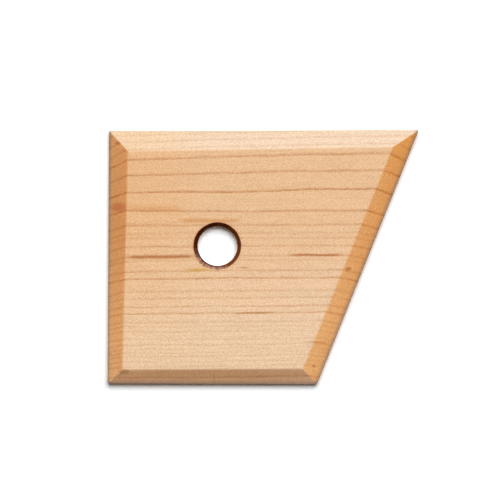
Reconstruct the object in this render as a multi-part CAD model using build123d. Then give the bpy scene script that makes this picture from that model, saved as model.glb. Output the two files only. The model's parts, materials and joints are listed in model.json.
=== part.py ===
from build123d import *
import os
from math import cos, radians, sin, tan

# Pottery rib: one four-sided hardwood board with its upper face bevelled
# towards all four edges and a finger hole near the middle.
# Millimetres and degrees. +X points to the acute tip, +Y to the long edge and
# +Z out of the bevelled face. The origin is on the flat back, at the centre
# of the board's box.

# Outline between its corners, taken as sharp
left_height = 101.6
top_length = 124.6
bottom_length = 84.25
left_lean = 0.32      # angle by which the left edge leans to the right
top_rise = 0.16       # angle by which the long edge rises towards the tip
bottom_fall = 0.20    # angle by which the short edge falls to the right

# Board thickness, and what the bevels leave of it at each corner
board_thickness = 6.35
height_bottom_left = 3.80
height_top_left = 3.00
height_tip = 3.70
height_bottom_right = 3.45

# Slope of each bevel
left_bevel_angle = 23.3
top_bevel_angle = 21.9
right_bevel_angle = 20.4
bottom_bevel_angle = 24.9

# Finger hole, placed from the bottom left corner and countersunk on both sides
hole_across = 44.2
hole_up = 55.3
hole_diameter = 16.0
countersink_width = 1.45
countersink_depth = 2.4

# Radii of the sanded edges
lower_corner_radius = 0.9
upper_corner_radius = 0.5
arris_radius = 2.4
mitre_radius = 1.2
working_edge_radius = 0.4
back_edge_radius = 0.4
hole_rim_radius = 0.3

# Length that a cutting tool runs past the wood
overrun = 5.0

# Slopes that tell level edges and faces from mitres, and mitres from uprights
level_slope = sin(radians(5))
upright_slope = sin(radians(60))


# Corners of the outline, clockwise from the bottom left one
def outline_corners():
    lean, rise, fall = radians(left_lean), radians(top_rise), radians(bottom_fall)
    bottom_left = Vector(0, 0)
    top_left = bottom_left + Vector(sin(lean), cos(lean)) * left_height
    tip = top_left + Vector(cos(rise), sin(rise)) * top_length
    bottom_right = bottom_left + Vector(cos(fall), -sin(fall)) * bottom_length
    return bottom_left, top_left, tip, bottom_right


# Flat board with rounded corners, the two at the long edge sharper
def plain_board(corners):
    board = extrude(make_face(Polyline(*corners, close=True)), board_thickness)
    board = fillet(board.edges().filter_by(Axis.Z).sort_by(Axis.Y)[:2], lower_corner_radius)
    return fillet(board.edges().filter_by(Axis.Z).sort_by(Axis.Y)[-2:], upper_corner_radius)


# Plane that climbs inwards from the edge between two corners
def bevel_plane(start, end, angle):
    along = end - start
    inward = Vector(along.Y, -along.X).normalized()
    climb = inward + Vector(0, 0, tan(radians(angle)))
    return Plane(origin=start, x_dir=along, z_dir=climb.cross(along))


# Board cut by four bevels, each through the heights left at its two corners,
# so that neighbours meet in a mitre that ends on their corner
def bevelled(board, corners):
    heights = (height_bottom_left, height_top_left, height_tip, height_bottom_right)
    angles = (left_bevel_angle, top_bevel_angle, right_bevel_angle, bottom_bevel_angle)
    starts = [corner + Vector(0, 0, height) for corner, height in zip(corners, heights)]
    ends = starts[1:] + starts[:1]
    for start, end, angle in zip(starts, ends, angles):
        board = split(board, bisect_by=bevel_plane(start, end, angle), keep=Keep.BOTTOM)
    return board


# How steeply an edge runs, from 0 for level to 1 for upright
def slope(edge):
    return abs(edge.tangent_at(0.5).Z)


# Board with its arrises, mitres, working edges and back edges sanded round
def sanded(board):
    board = fillet(board.faces().sort_by(Axis.Z)[-1].edges(), arris_radius)
    ridges = board.edges().filter_by(GeomType.LINE)
    mitres = ridges.filter_by(lambda edge: level_slope < slope(edge) < upright_slope)
    board = fillet(mitres, mitre_radius)
    walls = board.faces().filter_by(lambda face: abs(face.normal_at().Z) < level_slope)
    rims = walls.edges().filter_by(lambda edge: slope(edge) < upright_slope)
    working_edges = rims.filter_by(lambda edge: edge.center().Z > back_edge_radius)
    board = fillet(working_edges, working_edge_radius)
    return fillet(board.edges().group_by(Axis.Z)[0], back_edge_radius)


# Turned cutter for the hole: the bore between two countersinks, which go on
# widening past the wood
def hole_cutter():
    bore = hole_diameter / 2
    flare = bore + countersink_width * (1 + overrun / countersink_depth)
    low, high = countersink_depth, board_thickness - countersink_depth
    profile = Polyline((0, -overrun), (flare, -overrun), (bore, low), (bore, high),
                       (flare, board_thickness + overrun), (0, board_thickness + overrun),
                       close=True)
    return revolve(make_face(Plane.XZ * profile), Axis.Z)


# Board with the hole cut and the hole's two rims eased
def pierced(board):
    board -= Pos(hole_across, hole_up) * hole_cutter()
    past_bore = (hole_diameter + countersink_width) / 2
    circles = board.edges().filter_by(GeomType.CIRCLE)
    return fillet(circles.filter_by(lambda edge: edge.radius > past_bore), hole_rim_radius)


# The whole rib, moved so that the centre of its box lies on the Z axis
def rib():
    corners = outline_corners()
    board = pierced(sanded(bevelled(plain_board(corners), corners)))
    middle = board.bounding_box().center()
    return Pos(-middle.X, -middle.Y) * board


os.makedirs("parts", exist_ok=True)
export_step(rib(), "parts/rib.step")
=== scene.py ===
import json
from collections import Counter
from math import cos, hypot, pi, radians, sin

import bpy
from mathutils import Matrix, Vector


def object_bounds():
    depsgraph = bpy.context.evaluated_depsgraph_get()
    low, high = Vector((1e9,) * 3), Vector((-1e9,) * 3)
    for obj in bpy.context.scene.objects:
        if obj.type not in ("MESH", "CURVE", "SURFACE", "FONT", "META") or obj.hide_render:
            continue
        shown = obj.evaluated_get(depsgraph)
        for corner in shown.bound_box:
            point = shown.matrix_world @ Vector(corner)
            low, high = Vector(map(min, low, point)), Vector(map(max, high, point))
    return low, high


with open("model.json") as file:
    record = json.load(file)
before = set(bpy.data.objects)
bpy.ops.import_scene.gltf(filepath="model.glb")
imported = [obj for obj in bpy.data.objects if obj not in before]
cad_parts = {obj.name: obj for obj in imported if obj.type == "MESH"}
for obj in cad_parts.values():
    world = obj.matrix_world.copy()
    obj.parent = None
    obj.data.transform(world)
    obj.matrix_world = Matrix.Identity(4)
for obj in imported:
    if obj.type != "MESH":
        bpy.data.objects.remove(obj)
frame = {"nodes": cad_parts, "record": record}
cad_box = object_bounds()

# Pottery rib in hard maple, lying on a white floor under a softbox.
# Lengths are in millimetres and in the row frame: +X towards the tip, +Y towards the long edge,
# +Z out of the bevelled face. Colours and tints are linear.
MM = 0.001

# Places read from the frame
high_corner = Vector(cad_box[1]) / MM
face_height = high_corner.z
long_edge = high_corner.y
hole = next(mount for mount in frame["record"]["mounts"] if mount["kind"] == "bore")
hole_centre = Vector(hole["pos_m"]) / MM
bore_radius = hole["dims"]["r_mm"]
bore_top = hole_centre.z + hole["dims"]["length_mm"] / 2

# Camera: straight down, with the photograph's frame and scale
frame_pixels = 500
mm_per_pixel = 0.40218
aim_from_hole = Vector((13.06, -1.62))
aim_height = 3.4
camera_distance = 1600.0
camera_near, camera_far = 10.0, 20000.0
sensor_width = 36.0

# Light: a softbox behind the long edge, a strip further back, and a little from the room
# Each lamp: azimuth and tilt from straight up in degrees, width and depth, share of the light
lamp_distance = 2500.0
softbox = (77, 24, (2000.0, 1400.0), 0.89)
strip = (80, 44, (1600.0, 500.0), 0.10)
room_light = 0.05

# Floor: its colour for the light that it sends back, and where it is seen directly
floor_width = 500.0
floor_drop = 0.05
floor_colour = (0.8, 0.8, 0.8)
floor_seen = (1.2, 1.235, 1.255)

# The tree that the board came from: its pith lies past the long edge and below the back
pith_y = 83.0
pith_z = face_height - 53.0

# Waviness of the grain, how far it moves a line, and the slope of the grain
# Each noise, here and below: size of its grains along each axis, detail, shift
long_waves = ((60, 22, 22), 1.0, 3.1)
short_waves = ((9, 4, 4), 1.0, 7.7)
long_wave_height, short_wave_height = 1.0, 0.7
grain_slope = 0.006

# Growth lines sag towards the square end: how far, and where that starts and is full on X and Y
sags = (
    (0.95, (25, -15), (15, 25)),
    (0.5, (25, -25), (-10, -18)),
)

# They also fan out there: centre, rate and limits of the fan, and where it starts and is full
fan_centre = 27.0
fan_rate = 0.1
fan_limits = (-0.9, 1.5)
fan_along = (-9, -55)
fan_across = (11, 18)

# Growth lines: distance from the long edge on the face or in line with it, and how dark each is
growth_lines = (
    (-9.0, 0.2), (-4.5, 0.2), (0.3, 0.3), (5.2, 0.3), (9.8, 0.6), (16.5, 0.55), (24.0, 0.8),
    (32.8, 0.6), (38.5, 0.45), (41.7, 0.2), (43.6, 0.25), (46.8, 0.42), (50.8, 0.3), (52.4, 0.2),
    (56.7, 0.42), (59.6, 0.65), (64.6, 0.28), (67.1, 0.28), (70.5, 0.42), (73.1, 0.5), (76.8, 0.2),
    (78.5, 0.15), (80.6, 0.2), (83.6, 0.15), (85.8, 0.25), (87.5, 0.15), (88.9, 0.15), (90.3, 0.25),
    (92.4, 0.15), (94.3, 0.2), (98.2, 0.4), (102.0, 0.3), (106.0, 0.2),
)
late_wood_width, line_edge_width = 1.0, 0.36
least_on_left_bevel = 0.35
long_patches = ((9, 2.5), 3.0, 5.3)
short_patches = ((1.3, 0.6), 1.0, 8.3)
patchiness = 1.6

# Marks that follow the grain: start and end along X, distance from the long edge, half width, tint
mark_fade = 3.0
marks = (
    (-54.0, -28.5, 50.75, 1.05, (0.58, 0.34, 0.13)),
    (11.7, 31.0, 50.45, 0.70, (0.61, 0.34, 0.13)),
    (-10.8, 2.8, 73.1, 0.60, (0.68, 0.52, 0.28)),
    (-33.0, -10.0, 36.5, 1.10, (0.82, 0.64, 0.40)),
    (-30.5, -22.5, 56.2, 1.20, (0.85, 0.76, 0.33)),
    (-8.8, -6.2, 55.4, 0.60, (0.52, 0.32, 0.13)),
    (17.5, 25.5, 85.1, 0.50, (0.72, 0.58, 0.42)),
    (-54.0, -33.0, 31.6, 2.20, (0.93, 0.83, 0.68)),
)

# Small blots: centre, half size along X and Y, tint
blots = (
    ((-58.2, 20.0), (4.4, 2.6), (0.80, 0.59, 0.52)),
    ((-58.4, 45.8), (1.3, 1.1), (0.80, 0.60, 0.55)),
    ((-56.0, -46.0), (2.8, 1.5), (0.76, 0.68, 0.56)),
    ((34.3, -4.75), (1.7, 1.0), (0.66, 0.54, 0.42)),
    ((20.4, -43.7), (0.9, 0.8), (0.62, 0.52, 0.45)),
    ((-19.7, -48.6), (0.6, 3.0), (0.84, 0.78, 0.78)),
    ((-52.5, -49.2), (7.0, 1.7), (1.04, 0.95, 1.02)),
)

# Wood colours: the board pales towards its short edge, and is warmer at its square end
lower_wood, upper_wood = (0.90, 0.622, 0.392), (0.83, 0.51, 0.267)
upper_from, upper_to = -38, 24
late_tint = (0.63, 0.40, 0.16)
warm_end_tint = (1.0, 0.94, 0.84)
warm_along, warm_across = (-15, -50), (-60, 0)
roughness, roughness_spread = 0.45, 0.25
gloss = 0.4

# Unevenness of the wood along the grain, across it and up, and its share of the tone
fine_grain = ((0.60, 0.27, 0.27), 2.0, 1.7)
streaks = ((12, 0.42, 0.42), 2.0, 9.2)
broad_bands = ((60, 9, 9), 2.0, 4.4)
fine_share, streak_share, band_share = 2.15, 0.55, 0.2
band_shift = 30
darkest_grain, lightest_grain = (0.74, 0.68, 0.60), (1.22, 1.27, 1.36)

# Bevels: end grain drinks more finish on the left and right bevels, the top bevel's tint is a painted
# sheen, and the bottom bevel's tint is painted shade
# Each: how far the surface leans outwards where its tone starts and where it is full, tint
bevel_tones_and_painted_light = {
    "left": (0.06, 0.40, (0.835, 0.675, 0.51)),
    "right": (0.06, 0.33, (0.98, 0.715, 0.40)),
    # Painted sheen: the top bevel, which faces the light, is made paler and bluer
    "top": (0.05, 0.36, (1.01, 1.21, 1.57)),
    # Painted shade: the bottom bevel, which faces away from the light, is made darker
    "bottom": (0.05, 0.41, (0.705, 0.545, 0.415)),
}

# Drifts of tone within a bevel: the bevel, what is measured, where it starts and is full, tint
drifts = (
    ("left", "inset", 1.0, 6.0, (1.07, 1.0, 0.97)),
    ("left", "y", 32.0, 12.0, (0.99, 0.955, 0.88)),
    ("left", "y", 5.0, -25.0, (1.08, 1.07, 1.03)),
    ("right", "inset", 2.0, 5.5, (1.04, 1.09, 1.20)),
    ("right", "y", 25.0, 45.0, (0.99, 0.94, 0.76)),
    ("bottom", "x", -15.0, 30.0, (1.10, 1.14, 1.28)),
    ("bottom", "inset", 3.2, 2.2, (1.02, 1.07, 1.15)),
)

# Painted shade along the edges on the sides turned away from the light, on surfaces that don't stand
# upright
# Each: side, width, width at full strength, tint
edge_shade_from, edge_shade_to = 0.1, 0.3
painted_edge_shade = (
    ("left", 1.4, 0.3, (0.60, 0.72, 1.02)),
    ("right", 2.1, 0.3, (0.59, 0.68, 1.0)),
    ("bottom", 1.7, 0.3, (0.67, 0.71, 0.83)),
)

# Char in the finger hole's countersink: its colours and where on the scale of burning each is
# reached, its reach past the bore, and the lengths over which it fades outwards and downwards
light_char, dark_char = (0.23, 0.060, 0.014), (0.10, 0.018, 0.003)
light_at, dark_at = -0.6, 0.9
char_width = 1.5
edge_fade, bore_fade = 0.2, 0.4

# Wood beside the char: scorched round the hole, bare between the ticks on the wall that faces the
# light, where its paleness is partly bare wood and partly a painted highlight, and unburnt in the
# bore
scorch_width = 2.8
scorch_tint = (0.97, 0.90, 0.84)
bare_highlight_from, bare_highlight_to = bore_radius + 0.35, bore_radius + 0.8
bare_highlight_tint = (0.60, 0.56, 0.74)
bore_tint = (0.76, 0.92, 1.25)

# Where the tones of the bevels start and are full, so that they keep off the countersink
bevels_from, bevels_to = bore_radius + 1.6, bore_radius + 2.4

# Directions from the hole's axis: to the wall that faces the light, to the darkest char, and to
# where the char reaches further and browns the wood past it
lit_side = Vector((-0.42, -0.91))
lit_from, lit_to = 0.5, 0.95
dark_side = Vector((-0.87, 0.5))
wide_side = Vector((-0.985, -0.17))
wide_from, wide_to = 0.4, 0.75
wide_reach = 0.15
brown_width = 2.3
brown_tint = (0.90, 0.66, 0.56)

# Patches of char and burnt ticks in it, sized as shares of the radius and by height, and how much
# the patches change the lit wall, the reach and the burning
char_patches = ((0.25, 0.25, 6), 2.0, 2.0)
tick_marks = ((0.03, 0.03, 12), 1.0, 6.0)
patch_light, patch_reach, patch_burn = 0.5, 0.4, 2.0
tick_length = 2.0
tick_gap = 0.25


# Feeds a node's input with a number, a colour or another node's output
def feed(tree, socket, value):
    if isinstance(value, Field):
        value = value.socket
    if isinstance(value, bpy.types.NodeSocket):
        tree.links.new(value, socket)
    elif socket.type == "RGBA":
        socket.default_value = (*value, 1.0)
    else:
        socket.default_value = value


# A number that varies over the surface; arithmetic on it adds Math nodes
class Field:
    def __init__(self, tree, socket):
        self.tree, self.socket = tree, socket

    def math(self, operation, *others):
        node = self.tree.nodes.new("ShaderNodeMath")
        node.operation = operation
        for socket, value in zip(node.inputs, (self, *others)):
            feed(self.tree, socket, value)
        return Field(self.tree, node.outputs[0])

    def __add__(self, other):
        return self.math("ADD", other)

    def __sub__(self, other):
        return self.math("SUBTRACT", other)

    def __mul__(self, other):
        return self.math("MULTIPLY", other)

    def __truediv__(self, other):
        return self.math("DIVIDE", other)

    def __neg__(self):
        return self * -1

    def at_least(self, low):
        return self.math("MAXIMUM", low)

    def at_most(self, high):
        return self.math("MINIMUM", high)

    def size(self):
        return self.math("ABSOLUTE")

    def square(self):
        return self * self

    # Smooth step from 0 at start to 1 at end, where end may be the lower
    def rise(self, start, end):
        node = self.tree.nodes.new("ShaderNodeMapRange")
        node.interpolation_type = "SMOOTHSTEP"
        for socket, value in zip(node.inputs, (self, start, end, 0.0, 1.0)):
            feed(self.tree, socket, value)
        return Field(self.tree, node.outputs[0])

    # Straight lines through (this field, value) pairs
    def curve(self, pairs):
        first, last = pairs[0][0], pairs[-1][0]
        top = max(value for _, value in pairs)
        node = self.tree.nodes.new("ShaderNodeFloatCurve")
        line = node.mapping.curves[0]
        spots = [((place - first) / (last - first), value / top) for place, value in pairs]
        line.points[0].location = spots[0]
        line.points[1].location = spots[-1]
        for spot in spots[1:-1]:
            line.points.new(*spot)
        for point in line.points:
            point.handle_type = "VECTOR"
        node.mapping.update()
        feed(self.tree, node.inputs["Value"], (self - first) / (last - first))
        return Field(self.tree, node.outputs[0]) * top


# Three fields from a vector
def split(tree, vector):
    node = tree.nodes.new("ShaderNodeSeparateXYZ")
    feed(tree, node.inputs[0], vector)
    return [Field(tree, socket) for socket in node.outputs]


# Vector from three fields or numbers
def join(tree, *parts):
    node = tree.nodes.new("ShaderNodeCombineXYZ")
    for socket, value in zip(node.inputs, parts):
        feed(tree, socket, value)
    return node.outputs[0]


# Noise centred on 0, with the given grains, detail and shift
def noise(tree, place, pattern):
    grains, detail, shift = pattern
    node = tree.nodes.new("ShaderNodeTexNoise")
    spot = [axis / length + shift for axis, length in zip(place, grains)]
    feed(tree, node.inputs["Vector"], join(tree, *spot))
    node.inputs["Scale"].default_value = 1.0
    node.inputs["Detail"].default_value = detail
    return Field(tree, node.outputs[0]) - 0.5


# Blend of two colours by a share or a field
def blend(tree, kind, share, under, over):
    node = tree.nodes.new("ShaderNodeMix")
    node.data_type = "RGBA"
    node.blend_type = kind
    colours = [socket for socket in node.inputs if socket.type == "RGBA"]
    feed(tree, node.inputs["Factor"], share)
    feed(tree, colours[0], under)
    feed(tree, colours[1], over)
    return next(socket for socket in node.outputs if socket.type == "RGBA")


# Colour that changes from one to another as the share goes from 0 to 1
def mix(tree, share, first, last):
    return blend(tree, "MIX", share, first, last)


# Colour multiplied by a tint as far as the share says
def tinted(tree, colour, share, tint):
    return blend(tree, "MULTIPLY", share, colour, tint)


# Distance from the pith of a point on the face, given its distance from the long edge
def ring_radius(from_edge):
    return hypot(long_edge - from_edge - pith_y, face_height - pith_z)


# Coordinates that follow the wavy grain: along it, across it and up
def grain_place(tree, x, y, z):
    across = y - x * grain_slope
    across += noise(tree, (x, y, z), long_waves) * long_wave_height
    across += noise(tree, (x, y, z), short_waves) * short_wave_height
    fan = ((y - fan_centre) * fan_rate).at_least(fan_limits[0]).at_most(fan_limits[1])
    across += fan * y.rise(*fan_across) * x.rise(*fan_along)
    for depth, sag_along, sag_across in sags:
        across += y.rise(*sag_across) * x.rise(*sag_along) * depth
    return x, across, z


# Late wood, from 0 to 1: it darkens slowly towards each growth line and ends sharply there
def late_wood(tree, x, radius, on_left_bevel):
    rings = [(ring_radius(offset), strength) for offset, strength in growth_lines]
    count = radius.curve([(place, index) for index, (place, _) in enumerate(rings)])
    strength = radius.curve(rings).at_least(on_left_bevel * least_on_left_bevel)
    gaps = [(near + far) / 2 for (near, _), (far, _) in zip(rings, rings[1:])]
    widths = [far - near for (near, _), (far, _) in zip(rings, rings[1:])]
    width = radius.curve(list(zip(gaps, widths)))
    share = count.math("FRACT")
    before = ((-share + 1) * width).rise(late_wood_width, 0).square()
    after = (share * width).rise(line_edge_width, 0)
    patches = noise(tree, (x, radius), long_patches) + noise(tree, (x, radius), short_patches)
    return before.math("MAXIMUM", after) * strength * (patches * patchiness + 1.0)


# Mark along the grain: soft at both ends, thin across
def mark(x, radius, start, end, from_edge, half_width):
    ends = x.rise(start - mark_fade, start + mark_fade) * x.rise(end + mark_fade, end - mark_fade)
    return ends * (radius - ring_radius(from_edge)).size().rise(half_width, 0)


# Soft blot, from 0 outside to 1 at its centre
def blot(x, y, centre, half_size):
    across, up = (x - centre[0]) / half_size[0], (y - centre[1]) / half_size[1]
    return (across.square() + up.square()).rise(1, 0)


# Colour of the plain wood, and the fine grain in it
def plain_wood(tree, x, y, z, on_left_bevel):
    place = grain_place(tree, x, y, z)
    radius = ((place[1] - pith_y).square() + (place[2] - pith_z).square()).math("SQRT")
    fine = noise(tree, place, fine_grain)
    streaky = noise(tree, place, streaks)
    broad = noise(tree, place, broad_bands)

    colour = mix(tree, (y + broad * band_shift).rise(upper_from, upper_to), lower_wood, upper_wood)
    colour = tinted(tree, colour, x.rise(*warm_along) * y.rise(*warm_across), warm_end_tint)
    colour = tinted(tree, colour, late_wood(tree, x, radius, on_left_bevel), late_tint)
    for start, end, from_edge, half_width, tint in marks:
        colour = tinted(tree, colour, mark(x, radius, start, end, from_edge, half_width), tint)
    for centre, half_size, tint in blots:
        colour = tinted(tree, colour, blot(x, y, centre, half_size), tint)
    tone = fine * fine_share + streaky * streak_share + broad * band_share + 0.5
    return tinted(tree, colour, 1.0, mix(tree, tone, darkest_grain, lightest_grain)), fine


# Side of the rib that a horizontal direction points to
def side_of(out):
    return max((out.x, "right"), (-out.x, "left"), (out.y, "top"), (-out.y, "bottom"))[1]


# Distance inwards from each of the four upright walls, by side
def insets(thing, x, y):
    areas = Counter()
    for face in thing.data.polygons:
        if abs(face.normal.z) < 0.01:
            areas[(round(face.normal.x, 3), round(face.normal.y, 3))] += face.area
    found = {}
    for direction, _ in areas.most_common(4):
        out = Vector((*direction, 0))
        reach = max(vertex.co.dot(out) for vertex in thing.data.vertices) / MM
        found[side_of(out)] = x * -out.x - y * out.y + reach
    return found


# Tones of the bevels, with painted sheen and shade on them and painted shade along their outer edges,
# over the plain wood's colour
def with_bevels_and_painted_light(tree, colour, x, y, normal):
    inset = insets(frame["nodes"]["rib"], x, y)
    leans = {"left": -normal[0], "right": normal[0], "top": normal[1], "bottom": -normal[1]}
    beside_hole = from_hole(x, y).rise(bevels_from, bevels_to)
    shares = {}
    # The top bevel's tint is a painted sheen and the bottom bevel's tint is painted shade
    for side, (start, full, tint) in bevel_tones_and_painted_light.items():
        shares[side] = leans[side].rise(start, full) * beside_hole
        colour = tinted(tree, colour, shares[side], tint)
    for side, measure, start, full, tint in drifts:
        measured = {"x": x, "y": y, "inset": inset[side]}[measure]
        colour = tinted(tree, colour, shares[side] * measured.rise(start, full), tint)
    # Painted shade along the outer edges that face away from the light
    for side, width, full_width, tint in painted_edge_shade:
        edge_shade_share = inset[side].rise(width, full_width) * normal[2].rise(edge_shade_from, edge_shade_to)
        colour = tinted(tree, colour, edge_shade_share, tint)
    return colour


# Distance from the hole's axis
def from_hole(x, y):
    return ((x - hole_centre.x).square() + (y - hole_centre.y).square()).math("SQRT")


# Charring round the hole, over the wood's colour: how burnt it is, the colour of the wood past the
# char, and the colour of the char, whose wall that faces the light has dark ticks with paler wood
# between them, partly bare wood and partly a painted highlight
def charring(tree, colour, x, y, z):
    distance = from_hole(x, y)
    around_x, around_y = (x - hole_centre.x) / distance, (y - hole_centre.y) / distance
    to_light = around_x * lit_side.x + around_y * lit_side.y
    to_dark = around_x * dark_side.x + around_y * dark_side.y
    to_wide = around_x * wide_side.x + around_y * wide_side.y
    patches = noise(tree, (around_x, around_y, z), char_patches)
    ticks = noise(tree, (around_x, around_y, z), tick_marks)

    lit = (to_light + patches * patch_light).rise(lit_from, lit_to)
    wide = to_wide.rise(wide_from, wide_to)
    reach = ticks * lit * tick_length + patches * patch_reach + wide * wide_reach
    burnt = (distance - reach - (bore_radius + char_width)).rise(edge_fade, -edge_fade)
    burning = (to_dark + (patches + ticks) * patch_burn + lit).rise(light_at, dark_at)
    char = mix(tree, burning, light_char, dark_char)
    bore_wood = tinted(tree, colour, 1.0, bore_tint)
    char = mix(tree, z.rise(bore_top - bore_fade, bore_top), bore_wood, char)
    # Paler wood between the ticks, only on the wall that faces the light: partly bare wood, partly a
    # painted highlight
    bare_and_highlight = lit * (distance - ticks * tick_length).rise(bare_highlight_from, bare_highlight_to) * ticks.rise(tick_gap, 0.0)
    char = mix(tree, bare_and_highlight, char, tinted(tree, colour, 1.0, bare_highlight_tint))
    browned = distance.rise(bore_radius + brown_width, bore_radius + char_width) * wide
    return burnt, tinted(tree, colour, browned, brown_tint), char


# Satin hard maple, with charred wood in the finger hole
def maple():
    material = bpy.data.materials.new("maple")
    material.use_nodes = True
    tree = material.node_tree
    coordinates = tree.nodes.new("ShaderNodeTexCoord")
    x, y, z = (axis * (1 / MM) for axis in split(tree, coordinates.outputs["Object"]))
    normal = split(tree, coordinates.outputs["Normal"])

    colour, fine = plain_wood(tree, x, y, z, (-normal[0]).rise(*bevel_tones_and_painted_light["left"][:2]))
    colour = with_bevels_and_painted_light(tree, colour, x, y, normal)
    scorched = from_hole(x, y).rise(bore_radius + scorch_width, bore_radius + char_width)
    colour = tinted(tree, colour, scorched, scorch_tint)
    burnt, colour, char = charring(tree, colour, x, y, z)

    wood = tree.nodes["Principled BSDF"]
    feed(tree, wood.inputs["Base Color"], colour)
    feed(tree, wood.inputs["Roughness"], fine * roughness_spread + roughness)
    wood.inputs["Specular IOR Level"].default_value = gloss
    soot = tree.nodes.new("ShaderNodeBsdfDiffuse")
    feed(tree, soot.inputs["Color"], char)
    surface = tree.nodes.new("ShaderNodeMixShader")
    feed(tree, surface.inputs[0], burnt)
    feed(tree, surface.inputs[1], wood.outputs[0])
    feed(tree, surface.inputs[2], soot.outputs[0])
    feed(tree, tree.nodes["Material Output"].inputs["Surface"], surface.outputs[0])
    return material


# Camera looking straight down on the place that the photograph is centred on
def add_camera():
    aim = Vector((hole_centre.x + aim_from_hole.x, hole_centre.y + aim_from_hole.y, aim_height))
    camera = bpy.data.cameras.new("camera")
    camera.sensor_width = sensor_width
    camera.lens = sensor_width * camera_distance / (frame_pixels * mm_per_pixel)
    camera.clip_start, camera.clip_end = camera_near * MM, camera_far * MM
    thing = bpy.data.objects.new("camera", camera)
    thing.location = (aim + Vector((0, 0, camera_distance))) * MM
    bpy.context.scene.collection.objects.link(thing)
    bpy.context.scene.camera = thing


# Area lamp that points at the rib; all the shares together light a level surface plainly
def add_lamp(name, azimuth, tilt, size, share):
    azimuth, tilt = radians(azimuth), radians(tilt)
    way = Vector((sin(tilt) * cos(azimuth), sin(tilt) * sin(azimuth), cos(tilt)))
    lamp = bpy.data.lights.new(name, "AREA")
    lamp.shape = "RECTANGLE"
    lamp.size, lamp.size_y = (length * MM for length in size)
    lamp.energy = share * (pi * lamp_distance * MM) ** 2 / cos(tilt)
    thing = bpy.data.objects.new(name, lamp)
    thing.location = way * (lamp_distance * MM)
    thing.rotation_euler = way.to_track_quat("Z", "Y").to_euler()
    bpy.context.scene.collection.objects.link(thing)


# 1 for rays that should see a white background, and 0 for the light on the object
def seen_directly(tree):
    paths = tree.nodes.new("ShaderNodeLightPath")
    seen = Field(tree, paths.outputs["Is Camera Ray"])
    for ray in ("Is Glossy Ray", "Is Transmission Ray"):
        seen = seen.math("MAXIMUM", paths.outputs[ray])
    return seen


# White room that adds little light of its own
def add_world():
    world = bpy.data.worlds.new("room")
    world.use_nodes = True
    tree = world.node_tree
    background = tree.nodes["Background"]
    feed(tree, background.inputs["Color"], (1.0, 1.0, 1.0))
    feed(tree, background.inputs["Strength"], seen_directly(tree) * (1 - room_light) + room_light)
    bpy.context.scene.world = world


# White floor that keeps the rib's shadow
def add_floor():
    bpy.ops.mesh.primitive_plane_add(size=floor_width * MM, location=(0, 0, -floor_drop * MM))
    floor = bpy.context.object
    floor.name = "floor"
    material = bpy.data.materials.new("floor")
    material.use_nodes = True
    tree = material.node_tree
    tree.nodes.remove(tree.nodes["Principled BSDF"])
    surface = tree.nodes.new("ShaderNodeBsdfDiffuse")
    feed(tree, surface.inputs["Color"], mix(tree, seen_directly(tree), floor_colour, floor_seen))
    feed(tree, tree.nodes["Material Output"].inputs["Surface"], surface.outputs[0])
    floor.data.materials.append(material)


frame["nodes"]["rib"].material_slots[0].material = maple()
add_camera()
add_lamp("softbox", *softbox)
add_lamp("strip", *strip)
add_world()
add_floor()
bpy.context.scene.view_settings.view_transform = "Standard"
